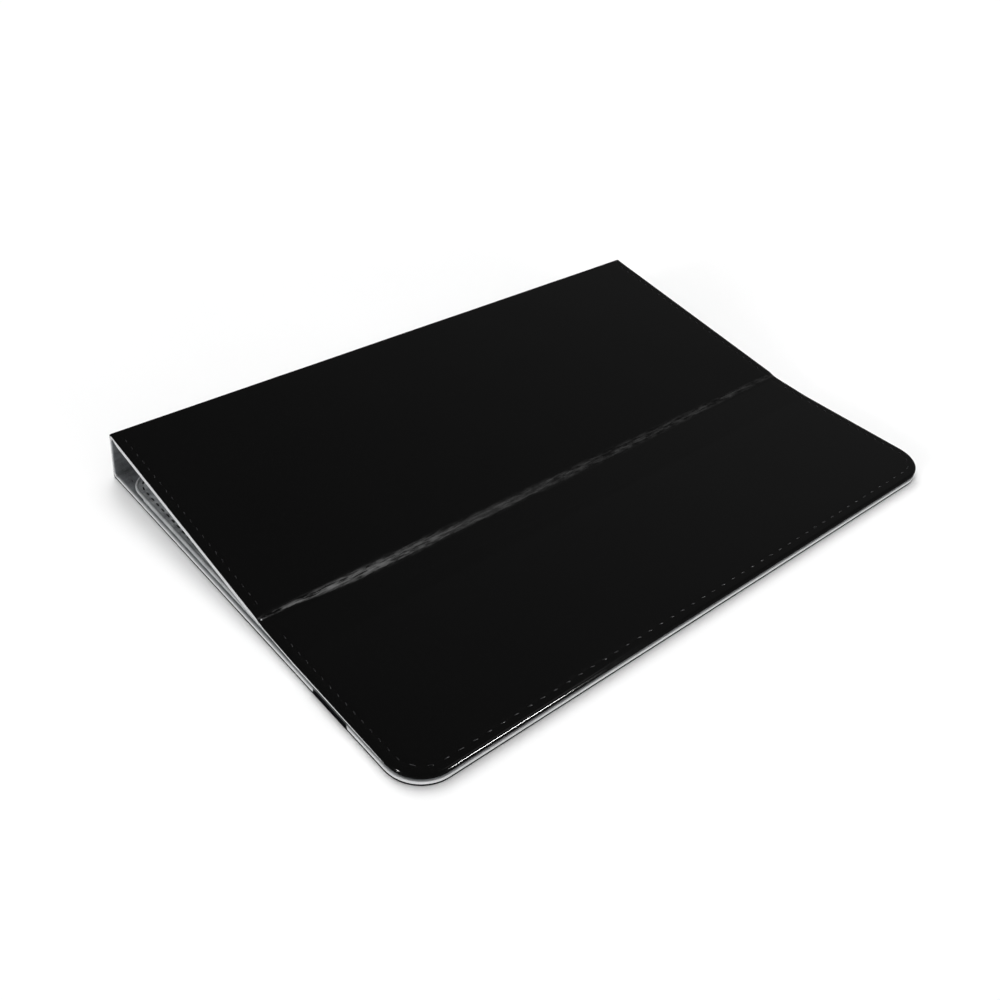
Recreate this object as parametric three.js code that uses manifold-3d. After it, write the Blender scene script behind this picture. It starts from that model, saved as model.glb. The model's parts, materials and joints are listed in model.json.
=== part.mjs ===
// Folio stand case for a ten-inch tablet, lying closed on its back panel.
// Millimetres, +X along the spine, +Y towards the spine, +Z up.
// The origin is the bottom centre of the closed case.
import * as THREE from 'three';
import { mergeVertices } from 'three/addons/utils/BufferGeometryUtils.js';
import Module from 'manifold-3d';

const wasm = await Module();
wasm.setup();

// Overall sizes of the closed case.
const caseLength = 265;        // along the spine
const caseDepth = 186;         // front edge to the foot of the spine
const spineHeight = 21.9;      // foot to top, measured along the spine
const spineLean = 8.1;         // degrees that the spine's top leans forward
const creaseFromFront = 80;    // front edge to the fold line in the cover
const creaseRise = 1.8;        // how much higher the fold line lies than the front edge
const lowerBoardRise = 0.4;    // how much the lower cover's board climbs from front to back
const cornerRadius = 13.5;     // free corners, in plan

// The laminate: leather skin outside, stiff board, microsuede lining inside.
const skinThickness = 0.6;
const backBoardThickness = 0.7;
const coverBoardThickness = 0.5;
const liningThickness = 0.4;
const glueGap = 0.1;           // between any two layers
const edgeBorder = 5.2;        // sewn border outside the boards
const hingeGap = 0.3;          // running clearance at each fold

// The boardless strip that lets the cover fold: skin and lining are pressed together there.
const stripAbove = 4.8;        // fold line to the upper cover's board
const stripBelow = 17.5;       // fold line to the lower cover's board
const stripRamp = 1.0;         // plan width of the step up to each board
const stripBoardSetback = 0.6;

// Stitching, sunk flush into a shallow channel.
const stitchInset = 3.3;
const threadWidth = 0.7;
const threadHeight = 0.22;
const channelWidth = 1.1;
const channelDepth = 0.34;
const threadLift = 0.06;       // thread to the floor of its channel

// The sewn tablet frame on the back panel's lining.
const frameInset = 0.9;        // frame's outer edge inside the panel's edge
const frameRearSetback = 9;    // frame's open end to the foot of the spine
const frameRearRadius = 10;
const frameFrontHeight = 1.05; // above the lining
const frameRearHeight = 2.35;
const bindingWidth = 1.5;      // rolled rim round the frame
const bindingThickness = 0.7;
const gussetThickness = 0.9;
const faceThickness = 0.3;
const stiffenerThickness = 0.3;
const frameBorder = 13;        // outer edge to the screen window
const windowRadius = 5;
const frameStitchInset = 4.6;
const frameThreadWidth = 0.6;
const frameThreadHeight = 0.14;
const frameChannelWidth = 1.0;
const frameChannelDepth = 0.18;
const frameThreadLift = 0.02;
const framePieceGap = 0.08;    // between the frame's own pieces

// Port cut-out in the left border of the back panel.
const portFromFront = 32;
const portLength = 18;
const portReach = 3.4;
const portRoof = 0.5;          // lining left above the cut-out

// Hidden closure discs near the front edge.
const magnetRadius = 5;
const magnetSpacing = 150;
const magnetFromFront = 14;
const magnetPocketGap = 0.3;
const discEndGap = 0.05;

const closedCoverGap = 0.25;   // frame top to cover lining at the front edge
const arcSegments = 7;         // each rounded corner has twice as many sides
const overrun = 25;            // how far a cutting tool runs past what it cuts

// Worked-out sizes.
const half = caseLength / 2;
const lean = THREE.MathUtils.degToRad(spineLean);
const backThickness = skinThickness + backBoardThickness + liningThickness + 2 * glueGap;
const coverThickness = skinThickness + coverBoardThickness + liningThickness + 2 * glueGap;
const frontHeight = backThickness + frameFrontHeight + closedCoverGap + coverThickness;
const front = -caseDepth / 2;
const spineFoot = new THREE.Vector2(caseDepth / 2, 0);
const spineTop = new THREE.Vector2(
  spineFoot.x - spineHeight * Math.sin(lean),
  spineHeight * Math.cos(lean),
);
const creaseLine = new THREE.Vector2(front + creaseFromFront, frontHeight + creaseRise);
const upperLength = spineTop.distanceTo(creaseLine);
const spineAngle = Math.PI / 2 + lean;
const upperAngle = Math.PI + Math.atan2(spineTop.y - creaseLine.y, spineTop.x - creaseLine.x);
const lowerSlope = Math.atan2(lowerBoardRise, creaseFromFront - stripBelow);
const lowerAngle = Math.PI + lowerSlope;
// The lower cover lies in a plane below its fold line; the strip bridges that drop.
const lowerLength = creaseFromFront * Math.cos(lowerSlope) + creaseRise * Math.sin(lowerSlope);
const lowerDrop = creaseRise * Math.cos(lowerSlope) - creaseFromFront * Math.sin(lowerSlope);

const looks = {
  leather: { color: 0x141414, roughness: 0.38, metalness: 0 },
  lining: { color: 0x8a8e92, roughness: 0.95, metalness: 0 },
  board: { color: 0x6f6a60, roughness: 0.9, metalness: 0 },
  thread: { color: 0x0c0c0c, roughness: 0.7, metalness: 0 },
  magnet: { color: 0x9a9c9f, roughness: 0.35, metalness: 1 },
};

// --- Shapes -----------------------------------------------------------------

// A rectangle across the case from y0 to y1, each end with its own corner radius.
function panelShape(y0, y1, r0, r1, inset = 0) {
  const x = half - inset;
  const a = y0 + inset;
  const b = y1 - inset;
  const ra = Math.max(r0 - inset, 0);
  const rb = Math.max(r1 - inset, 0);
  const shape = new THREE.Shape();
  shape.moveTo(-x + ra, a);
  shape.lineTo(x - ra, a);
  if (ra > 0) shape.absarc(x - ra, a + ra, ra, -Math.PI / 2, 0, false);
  shape.lineTo(x, b - rb);
  if (rb > 0) shape.absarc(x - rb, b - rb, rb, 0, Math.PI / 2, false);
  shape.lineTo(-x + rb, b);
  if (rb > 0) shape.absarc(-x + rb, b - rb, rb, Math.PI / 2, Math.PI, false);
  shape.lineTo(-x, a + ra);
  if (ra > 0) shape.absarc(-x + ra, a + ra, ra, Math.PI, Math.PI * 1.5, false);
  return shape;
}

function solidOf(geometry) {
  const bare = geometry.clone();
  bare.deleteAttribute('normal');
  bare.deleteAttribute('uv');
  const merged = mergeVertices(bare, 1e-4);
  const mesh = new wasm.Mesh({
    numProp: 3,
    vertProperties: merged.attributes.position.array,
    triVerts: new Uint32Array(merged.index.array),
  });
  return new wasm.Manifold(mesh);
}

function geometryOf(solid) {
  const mesh = solid.getMesh();
  const geometry = new THREE.BufferGeometry();
  geometry.setAttribute('position', new THREE.BufferAttribute(mesh.vertProperties, 3));
  geometry.setIndex(new THREE.BufferAttribute(mesh.triVerts, 1));
  geometry.computeVertexNormals();
  return geometry;
}

// A plan shape raised from z0 to z1.
function plate(shape, z0, z1) {
  const options = { depth: z1 - z0, bevelEnabled: false, curveSegments: arcSegments };
  const geometry = new THREE.ExtrudeGeometry(shape, options);
  geometry.translate(0, 0, z0);
  return solidOf(geometry);
}

function block(x0, x1, y0, y1, z0, z1) {
  const geometry = new THREE.BoxGeometry(x1 - x0, y1 - y0, z1 - z0);
  geometry.translate((x0 + x1) / 2, (y0 + y1) / 2, (z0 + z1) / 2);
  return solidOf(geometry);
}

function disc(x, y, radius, z0, z1) {
  const geometry = new THREE.CylinderGeometry(radius, radius, z1 - z0, 4 * arcSegments);
  geometry.rotateX(Math.PI / 2);
  geometry.translate(x, y, (z0 + z1) / 2);
  return solidOf(geometry);
}

// A side profile of [y, z] points carried along X for the whole length.
function profileAlongX(points) {
  const shape = new THREE.Shape(points.map(([y, z]) => new THREE.Vector2(y, z)));
  const geometry = new THREE.ExtrudeGeometry(shape, { depth: caseLength, bevelEnabled: false });
  geometry.applyMatrix4(new THREE.Matrix4().makeBasis(
    new THREE.Vector3(0, 1, 0),
    new THREE.Vector3(0, 0, 1),
    new THREE.Vector3(1, 0, 0),
  ));
  geometry.translate(-half, 0, 0);
  return solidOf(geometry);
}

// The band between two insets of a panel's edge, left open at the ends that fold.
function seamBand(panel, inset, width, z0, z1) {
  const y0 = panel.open0 ? panel.y0 - overrun : panel.y0;
  const y1 = panel.open1 ? panel.y1 + overrun : panel.y1;
  const outer = panelShape(y0, y1, panel.r0, panel.r1, inset - width / 2);
  const inner = panelShape(y0, y1, panel.r0, panel.r1, inset + width / 2);
  outer.holes.push(new THREE.Path(inner.getPoints(arcSegments)));
  return plate(outer, z0, z1);
}

// --- Panels -----------------------------------------------------------------
// Every panel is drawn with its outer skin at z = drop and its lining further up +z.
// y0..y1 is the skin, inner0..inner1 the layers behind it, board0..board1 the board.

const backPanel = {
  y0: front,
  y1: spineFoot.x - skinThickness - hingeGap,
  inner0: front,
  inner1: spineFoot.x - skinThickness - hingeGap,
  board0: front + edgeBorder,
  board1: spineFoot.x - backThickness - edgeBorder / 2,
  drop: 0,
  r0: cornerRadius,
  r1: 0,
  open0: false,
  open1: true,
  boardThickness: backBoardThickness,
  thickness: backThickness,
};

const spineInner0 = (backThickness + hingeGap + coverThickness * Math.sin(lean)) / Math.cos(lean);
const spineInner1 = spineHeight - coverThickness - hingeGap;
const spinePanel = {
  y0: skinThickness * Math.tan(lean) + threadLift,
  y1: spineHeight - skinThickness - hingeGap,
  inner0: spineInner0,
  inner1: spineInner1,
  board0: spineInner0 + hingeGap,
  board1: spineInner1 - hingeGap,
  drop: 0,
  r0: 0,
  r1: 0,
  open0: true,
  open1: true,
  boardThickness: coverBoardThickness,
  thickness: coverThickness,
};

const upperPanel = {
  y0: 0,
  y1: upperLength - hingeGap / 2,
  inner0: skinThickness + hingeGap,
  inner1: upperLength - hingeGap / 2,
  board0: coverThickness + edgeBorder / 2,
  board1: upperLength - stripAbove - stripBoardSetback,
  drop: 0,
  r0: 0,
  r1: 0,
  open0: true,
  open1: true,
  boardThickness: coverBoardThickness,
  thickness: coverThickness,
};

const lowerPanel = {
  y0: hingeGap / 2,
  y1: lowerLength,
  inner0: hingeGap / 2,
  inner1: lowerLength,
  board0: stripBelow + stripBoardSetback,
  board1: lowerLength - edgeBorder,
  drop: lowerDrop,
  r0: 0,
  r1: cornerRadius,
  open0: true,
  open1: false,
  boardThickness: coverBoardThickness,
  thickness: coverThickness,
};

// Skin and lining side profiles: pressed together along the strip, then parted by the board.
const stripDip = coverBoardThickness + glueGap;

function upperSkinProfile() {
  const shoulder = upperLength - stripAbove;
  const foot = shoulder + stripRamp;
  return profileAlongX([
    [upperPanel.y0, 0],
    [shoulder, 0],
    [foot, stripDip],
    [upperPanel.y1, stripDip],
    [upperPanel.y1, stripDip + skinThickness],
    [foot, stripDip + skinThickness],
    [shoulder, skinThickness],
    [upperPanel.y0, skinThickness],
  ]);
}

function lowerSkinProfile() {
  const foot = stripBelow - stripRamp;
  const footDip = stripDip + lowerDrop * foot / stripBelow;
  return profileAlongX([
    [lowerPanel.y0, stripDip],
    [foot, footDip],
    [stripBelow, lowerDrop],
    [lowerPanel.y1, lowerDrop],
    [lowerPanel.y1, lowerDrop + skinThickness],
    [stripBelow, lowerDrop + skinThickness],
    [foot, footDip + skinThickness],
    [lowerPanel.y0, stripDip + skinThickness],
  ]);
}

function lowerLiningProfile() {
  const top = coverThickness - liningThickness;
  return profileAlongX([
    [lowerPanel.y0, top],
    [stripBelow, lowerDrop + top],
    [lowerPanel.y1, lowerDrop + top],
    [lowerPanel.y1, lowerDrop + coverThickness],
    [stripBelow, lowerDrop + coverThickness],
    [lowerPanel.y0, coverThickness],
  ]);
}

function cutSeam(skin, panel) {
  const floor = panel.drop + channelDepth;
  const channel = seamBand(panel, stitchInset, channelWidth, -overrun, floor);
  return skin.subtract(channel);
}

function seamThread(panel) {
  const top = panel.drop + channelDepth - threadLift;
  const band = seamBand(panel, stitchInset, threadWidth, top - threadHeight, top);
  return band.intersect(block(-half, half, panel.y0, panel.y1, -overrun, overrun));
}

// Lining sheet, thickened to meet the skin in the border that has no board behind it.
function liningTray(panel, sheet) {
  const z0 = panel.drop + skinThickness + glueGap;
  const z1 = panel.drop + panel.thickness - liningThickness;
  const rim0 = panel.open0 ? panel.board0 : panel.inner0;
  const rim1 = panel.open1 ? panel.board1 : panel.inner1;
  const rim = plate(panelShape(rim0, rim1, panel.r0, panel.r1), z0, z1 + liningThickness / 2);
  const pocket0 = panel.open0 ? rim0 - overrun : rim0;
  const pocket1 = panel.open1 ? rim1 + overrun : rim1;
  const pocketShape = panelShape(pocket0, pocket1, panel.r0, panel.r1, edgeBorder - glueGap);
  return sheet.add(rim.subtract(plate(pocketShape, -overrun, z1)));
}

function flatLining(panel) {
  const shape = panelShape(panel.inner0, panel.inner1, panel.r0, panel.r1);
  return plate(shape, panel.thickness - liningThickness, panel.thickness);
}

function boardPlate(panel) {
  const z0 = panel.drop + skinThickness + glueGap;
  const z1 = z0 + panel.boardThickness;
  const start = panel.open0 ? panel.board0 - overrun : panel.y0;
  const end = panel.open1 ? panel.board1 + overrun : panel.y1;
  const sheet = plate(panelShape(start, end, panel.r0, panel.r1, edgeBorder), z0, z1);
  return sheet.intersect(block(-half, half, panel.board0, panel.board1, z0 - overrun, z1 + overrun));
}

// --- Assembly ---------------------------------------------------------------

function addPiece(group, name, solid, look) {
  const mesh = new THREE.Mesh(geometryOf(solid), new THREE.MeshStandardMaterial(look));
  mesh.name = name;
  group.add(mesh);
}

function leftHalf(panel) {
  return block(-half - overrun, 0, panel.y0 - overrun, panel.y1 + overrun, -overrun, overrun);
}

function rightHalf(panel) {
  return block(0, half + overrun, panel.y0 - overrun, panel.y1 + overrun, -overrun, overrun);
}

function addSideThreads(group, name, panel) {
  const threads = seamThread(panel);
  addPiece(group, `${name}_stitching_left`, threads.intersect(leftHalf(panel)), looks.thread);
  addPiece(group, `${name}_stitching_right`, threads.intersect(rightHalf(panel)), looks.thread);
}

// Pockets for the two discs, each a little wider than the disc.
function drillDiscs(board, y) {
  const radius = magnetRadius + magnetPocketGap;
  const left = disc(-magnetSpacing / 2, y, radius, -overrun, overrun);
  const right = disc(magnetSpacing / 2, y, radius, -overrun, overrun);
  return board.subtract(left).subtract(right);
}

function addDiscs(group, name, y, z0, z1) {
  const left = disc(-magnetSpacing / 2, y, magnetRadius, z0, z1);
  const right = disc(magnetSpacing / 2, y, magnetRadius, z0, z1);
  addPiece(group, `${name}_left`, left, looks.magnet);
  addPiece(group, `${name}_right`, right, looks.magnet);
}

function makeBack() {
  const group = new THREE.Group();
  const skin = plate(panelShape(backPanel.y0, backPanel.y1, backPanel.r0, 0), 0, skinThickness);
  addPiece(group, 'back_skin', cutSeam(skin, backPanel), looks.leather);
  addPiece(group, 'back_stitching', seamThread(backPanel), looks.thread);
  const discY = front + magnetFromFront;
  addPiece(group, 'back_board', drillDiscs(boardPlate(backPanel), discY), looks.board);
  const discZ = skinThickness + glueGap + discEndGap;
  addDiscs(group, 'keeper_disc', discY, discZ, discZ + backBoardThickness - 2 * discEndGap);
  const portStart = front + portFromFront;
  const portTop = backThickness - portRoof;
  const portReachX = -half + portReach;
  const lining = liningTray(backPanel, flatLining(backPanel));
  const port = block(-half - overrun, portReachX, portStart, portStart + portLength, 0, portTop);
  addPiece(group, 'back_lining', lining.subtract(port), looks.lining);
  return group;
}

// The tablet frame: binding, face and stiffener lie in one gently sloping plane,
// and the gusset stands under the binding along the left, front and right sides.
function makeFrame() {
  const group = new THREE.Group();
  const y0 = front + frameInset;
  const y1 = spineFoot.x - frameRearSetback;
  const slope = Math.atan2(frameRearHeight - frameFrontHeight, y1 - y0);
  const outline = (inset) => panelShape(front, y1 + frameInset, cornerRadius,
    frameRearRadius + frameInset, frameInset + inset);
  const ring = (inset, endInset, z0, z1) => {
    const outer = outline(inset);
    outer.holes.push(new THREE.Path(outline(endInset).getPoints(arcSegments)));
    return plate(outer, z0, z1);
  };
  const windowRound = windowRadius + frameInset + frameBorder;
  const windowShape = panelShape(front, y1 + frameInset, windowRound, windowRound,
    frameInset + frameBorder);
  const windowCut = plate(windowShape, -overrun, overrun);

  // Sloping plane, its bottom face through the front edge of the frame.
  const planeGroup = new THREE.Group();
  planeGroup.position.set(0, y0, backThickness + frameFrontHeight - bindingThickness);
  planeGroup.rotation.x = slope;
  const local = (solid) => solid.translate([0, -y0, 0]);

  const binding = ring(0, bindingWidth, 0, bindingThickness);
  addPiece(planeGroup, 'frame_binding', local(binding), looks.lining);

  const faceInset = bindingWidth + framePieceGap;
  const faceShape = outline(faceInset);
  const faceTop = bindingThickness - framePieceGap;
  const faceFloor = faceTop - faceThickness;
  const threadBand = (width, z0, z1) => ring(frameStitchInset - width / 2,
    frameStitchInset + width / 2, z0, z1);
  const channelFloor = faceTop - frameChannelDepth;
  const face = plate(faceShape, faceFloor, faceTop)
    .subtract(windowCut)
    .subtract(threadBand(frameChannelWidth, channelFloor, faceTop + overrun));
  addPiece(planeGroup, 'frame_face', local(face), looks.lining);

  const threadFloor = channelFloor + frameThreadLift;
  const thread = threadBand(frameThreadWidth, threadFloor, threadFloor + frameThreadHeight);
  addPiece(planeGroup, 'frame_stitching', local(thread), looks.thread);

  const stiffenerTop = faceFloor - framePieceGap;
  const stiffener = plate(faceShape, stiffenerTop - stiffenerThickness, stiffenerTop)
    .subtract(windowCut);
  addPiece(planeGroup, 'frame_stiffener', local(stiffener), looks.board);
  group.add(planeGroup);

  const gussetFloor = backThickness + framePieceGap;
  const wall = ring(bindingWidth - gussetThickness, bindingWidth, gussetFloor, overrun);
  const underBinding = planeGroup.position.z - framePieceGap;
  const reach = y1 - y0 + overrun;
  const roof = profileAlongX([
    [y0 - overrun, 0],
    [y0 + reach, 0],
    [y0 + reach, underBinding + reach * Math.tan(slope)],
    [y0 - overrun, underBinding - overrun * Math.tan(slope)],
  ]);
  const openEnd = block(-half, half, y0, y1 - frameRearRadius, 0, 2 * overrun);
  addPiece(group, 'frame_gusset', wall.intersect(roof).intersect(openEnd), looks.lining);
  return group;
}

function makeSpine() {
  const group = new THREE.Group();
  const skin = plate(panelShape(spinePanel.y0, spinePanel.y1, 0, 0), 0, skinThickness);
  addPiece(group, 'spine_skin', cutSeam(skin, spinePanel), looks.leather);
  addSideThreads(group, 'spine', spinePanel);
  addPiece(group, 'spine_board', boardPlate(spinePanel), looks.board);
  addPiece(group, 'spine_lining', liningTray(spinePanel, flatLining(spinePanel)), looks.lining);
  return group;
}

function makeUpperCover() {
  const group = new THREE.Group();
  const sewn = { ...upperPanel, y1: upperLength - stripAbove };
  addPiece(group, 'upper_skin', cutSeam(upperSkinProfile(), upperPanel), looks.leather);
  addSideThreads(group, 'upper', sewn);
  addPiece(group, 'upper_board', boardPlate(upperPanel), looks.board);
  const lining = liningTray(upperPanel, flatLining(upperPanel));
  addPiece(group, 'upper_lining', lining, looks.lining);
  return group;
}

function makeLowerCover() {
  const group = new THREE.Group();
  const sewn = { ...lowerPanel, y0: stripBelow };
  const trim = plate(panelShape(lowerPanel.y0, lowerPanel.y1, 0, cornerRadius), -overrun, overrun);
  const skin = lowerSkinProfile().intersect(trim);
  addPiece(group, 'lower_skin', cutSeam(skin, sewn), looks.leather);
  addPiece(group, 'lower_stitching', seamThread(sewn), looks.thread);
  const discY = lowerLength - magnetFromFront;
  addPiece(group, 'lower_board', drillDiscs(boardPlate(lowerPanel), discY), looks.board);
  const discZ = lowerDrop + skinThickness + glueGap + discEndGap;
  addDiscs(group, 'closure_magnet', discY, discZ, discZ + coverBoardThickness - 2 * discEndGap);
  const lining = liningTray(lowerPanel, lowerLiningProfile().intersect(trim));
  addPiece(group, 'lower_lining', lining, looks.lining);
  return group;
}

// Each panel's group turns about its own fold line, so the groups nest as the case folds.
const back = makeBack();
back.add(makeFrame());

const spine = makeSpine();
spine.position.set(0, spineFoot.x, 0);
spine.rotation.x = spineAngle;
back.add(spine);

const upperCover = makeUpperCover();
upperCover.position.set(0, spineHeight, 0);
upperCover.rotation.x = upperAngle - spineAngle;
spine.add(upperCover);

const lowerCover = makeLowerCover();
lowerCover.position.set(0, upperLength, 0);
lowerCover.rotation.x = lowerAngle - upperAngle;
upperCover.add(lowerCover);

export default back;
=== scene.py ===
import json
import math

import bpy
import numpy as np
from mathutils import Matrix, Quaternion, Vector


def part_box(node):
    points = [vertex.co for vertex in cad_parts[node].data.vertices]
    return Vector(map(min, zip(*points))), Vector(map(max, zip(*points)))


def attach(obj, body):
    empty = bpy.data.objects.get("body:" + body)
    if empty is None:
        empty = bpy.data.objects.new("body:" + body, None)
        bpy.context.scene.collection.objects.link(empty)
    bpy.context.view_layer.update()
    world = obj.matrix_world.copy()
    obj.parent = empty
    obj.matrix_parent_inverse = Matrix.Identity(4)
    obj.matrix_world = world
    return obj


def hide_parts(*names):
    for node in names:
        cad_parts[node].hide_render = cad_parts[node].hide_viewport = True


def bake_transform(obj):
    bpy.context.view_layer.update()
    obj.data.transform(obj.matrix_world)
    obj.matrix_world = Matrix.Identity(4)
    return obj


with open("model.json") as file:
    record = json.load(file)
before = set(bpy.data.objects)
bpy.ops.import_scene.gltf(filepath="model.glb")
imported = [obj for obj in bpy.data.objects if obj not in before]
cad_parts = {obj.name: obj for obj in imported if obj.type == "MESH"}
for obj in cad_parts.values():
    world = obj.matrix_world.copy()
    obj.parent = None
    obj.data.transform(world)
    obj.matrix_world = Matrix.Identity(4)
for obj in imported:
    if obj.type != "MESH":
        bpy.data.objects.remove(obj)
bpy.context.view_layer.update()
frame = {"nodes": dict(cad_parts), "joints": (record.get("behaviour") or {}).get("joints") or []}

mm = 0.001  # shapes are worked out in millimetres, meshes are in metres


def corner(node, which):
    return np.array(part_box(node)[which]) / mm


hinges = {j["name"]: np.array(j["pos_m"][1:], float) / mm for j in frame["joints"]}
foot = hinges["spine_hinge"]        # (y, z) of the fold between back panel and spine
top = hinges["cover_hinge"]         # (y, z) of the fold between spine and cover
crease = hinges["cover_crease"]     # (y, z) of the fold across the cover

halfLength = corner("back_skin", 1)[0]
front = corner("back_skin", 0)[1]
backTop = corner("back_lining", 1)[2]         # the lining's face inside the back panel
coverUnder = corner("lower_lining", 0)[2]     # the cover's lining at the front edge
boardEnd = corner("lower_board", 1)[1]        # rear edge of the lower cover's board

laminate = dict(
    skin=0.6,            # leather
    cover=1.7,           # leather, board and lining together
    folded=1.15,         # leather and lining pressed together, with no board between
    lining=0.4,
    border=5.2,          # sewn border outside the boards
)
cornerRadius = 13.5      # of both free edges
frontTop = coverUnder + laminate["cover"]


def unit(v):
    return v / np.linalg.norm(v)


# A chain of straight lines whose corners are arcs: each arc touches both lines at radius times
# tan(half the turn) from the corner. Returns the distance run s, the points and the outward normals.
def roundedPath(corners, radii, step=0.02):
    corners = [np.array(c, float) for c in corners]
    points = [corners[0][None]]
    for before, at, after, radius in zip(corners[:-2], corners[1:-1], corners[2:], radii):
        u, v = unit(before - at), unit(after - at)
        halfTurn = (math.pi - math.acos(np.clip(u @ v, -1, 1))) / 2
        reach = radius * math.tan(halfTurn)
        centre = at + unit(u + v) * radius / math.cos(halfTurn)
        a, b = at + u * reach - centre, at + v * reach - centre
        sweep = np.linspace(0, 1, 33)[:, None]
        arc = (np.sin((1 - sweep) * 2 * halfTurn) * a + np.sin(sweep * 2 * halfTurn) * b)
        points.append(centre + arc / math.sin(2 * halfTurn))
    points.append(corners[-1][None])
    points = np.vstack(points)
    run = np.concatenate([[0], np.cumsum(np.linalg.norm(np.diff(points, axis=0), axis=1))])
    s = np.unique(np.concatenate([np.arange(0, run[-1], step), run]))
    yz = np.stack([np.interp(s, run, points[:, k]) for k in (0, 1)], axis=1)
    tangent = np.gradient(yz, s, axis=0)
    tangent /= np.linalg.norm(tangent, axis=1)[:, None]
    normal = np.stack([tangent[:, 1], -tangent[:, 0]], axis=1)
    return dict(s=s, yz=yz, normal=normal, length=s[-1])


# The point on a path at distance s, pushed out along its normal by lift.
def onPath(path, s, lift=0.0):
    y, z, ny, nz = (np.interp(s, path["s"], path[k][:, i])
                    for k in ("yz", "normal") for i in (0, 1))
    return y + ny * lift, z + nz * lift


def nearestRun(path, point):
    return path["s"][np.argmin(np.linalg.norm(path["yz"] - np.array(point), axis=1))]


# For each distance along one path: the distance along another path of its nearest point there,
# and how far away that point is.
def acrossTo(path, s, other):
    y, z = onPath(path, s)
    coarse = other["yz"][::5]
    gap = np.hypot(coarse[None, :, 0] - y[:, None], coarse[None, :, 1] - z[:, None])
    nearest = gap.argmin(axis=1)
    return other["s"][::5][nearest], gap.min(axis=1)


# How far one path lies outside another, measured along the other's normals between two runs.
def heightOver(path, other, start, stop):
    s = np.arange(start, stop, 0.1)
    y, z = onPath(other, s)
    yz = path["yz"]
    nearest = yz[np.hypot(yz[None, :, 0] - y[:, None], yz[None, :, 1] - z[:, None]).argmin(axis=1)]
    ny, nz = (np.interp(s, other["s"], other["normal"][:, k]) for k in (0, 1))
    return s, (nearest[:, 0] - y) * ny + (nearest[:, 1] - z) * nz


# The point at distance d from both lines a-b and b-c, on the inner side of the corner b.
def insideCorner(a, b, c, d):
    u, v = unit(np.array(a) - b), unit(np.array(c) - b)
    return b + (u + v) * d / math.sqrt(1 - (u @ v) ** 2)


# The point that lies t along the way from a to b and d to its left.
def beside(a, b, t, d):
    u = unit(b - a)
    return a + u * t + np.array([-u[1], u[0]]) * d


fold = dict(
    shoulder=2.3,          # fold line to the top of the pressed slope
    slopeFoot=1.0,         # fold line to the bottom of the pressed slope
    slopeFootDrop=0.56,    # bottom of the slope below the fold line
    pinchShoulder=2.6,     # the same three where the fold is pinched sharp at the sewn edge
    pinchFoot=-2.0,
    pinchRadius=1.2,
    footRadius=0.9,
    topRadius=1.0,
)


def onCoverPlane(y):
    return np.array([y, top[1] + (crease[1] - top[1]) * (top[0] - y) / (top[0] - crease[0])])


boardEdge = np.array([boardEnd + 0.6, frontTop + 0.4])
shoulder = onCoverPlane(crease[0] + fold["shoulder"])
slopeFoot = np.array([crease[0] - fold["slopeFoot"], crease[1] - fold["slopeFootDrop"]])
frontUpper, frontLower = np.array([front, frontTop]), np.array([front, 0.0])

outerPath = roundedPath(
    [frontLower, foot, top, shoulder, slopeFoot, boardEdge, frontUpper],
    [fold["footRadius"], fold["topRadius"], 16, 8, 26])

pinchShoulder = onCoverPlane(crease[0] + fold["pinchShoulder"])
pinchFoot = np.array([crease[0] - fold["pinchFoot"], 0])
slopeRun = boardEdge - slopeFoot
pinchFoot[1] = slopeFoot[1] + slopeRun[1] * (pinchFoot - slopeFoot)[0] / slopeRun[0]
pinchPath = roundedPath(
    [frontLower, foot, top, pinchShoulder, pinchFoot, boardEdge, frontUpper],
    [fold["footRadius"], fold["topRadius"], fold["pinchRadius"], 0.3, 26])

innerPath = roundedPath(
    [(front, backTop),
     (foot[0] - 4.6, backTop),
     insideCorner(frontLower, foot, top, laminate["folded"] + 0.1),
     beside(foot, top, 3.0, laminate["cover"]),
     beside(foot, top, np.linalg.norm(top - foot) - 3.0, laminate["cover"]),
     insideCorner(foot, top, shoulder, laminate["folded"] + 0.1),
     beside(top, shoulder, 4.6, laminate["cover"]),
     shoulder - (0, laminate["cover"]),
     slopeFoot - (0, laminate["folded"]),
     boardEdge - (0, laminate["cover"] - 0.1),
     boardEdge - (1.5, laminate["cover"]),
     (front, coverUnder)],
    [3, 0.5, 0.8, 0.8, 0.5, 3, 20, 20, 5, 3])

print("paths done:", round(outerPath["length"], 1), "and", round(innerPath["length"], 1), "mm")


# Half the width at distance d from the free edge: the straight side, or the arc of the corner.
def halfWidth(d, inset=0.0):
    rise = np.clip(cornerRadius - d, 0, cornerRadius - inset)
    return halfLength - cornerRadius + np.sqrt((cornerRadius - inset) ** 2 - rise ** 2)


# How far a point is inside the outline, by x and the distance d to the free edge.
def insideEdge(x, d):
    across, down = np.abs(x) - (halfLength - cornerRadius), cornerRadius - d
    inCorner = (across > 0) & (down > 0)
    return np.where(inCorner, cornerRadius - np.hypot(across, down), np.minimum(halfLength - np.abs(x), d))


seam = dict(
    inset=3.3,
    sidePitch=4.25,
    frontPitch=5.35,
    groove=0.025,         # depth of the sewn furrow
    grooveWidth=0.45,
    pucker=0.06,          # extra depth at each needle hole
    threadLength=0.36,    # share of the pitch
    threadWidth=0.38,
    threadHeight=0.28,
    underside=-0.2,       # threads under the back panel are pulled into the leather
)
seamTurn = cornerRadius - seam["inset"]    # radius of the seam round a corner


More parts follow.
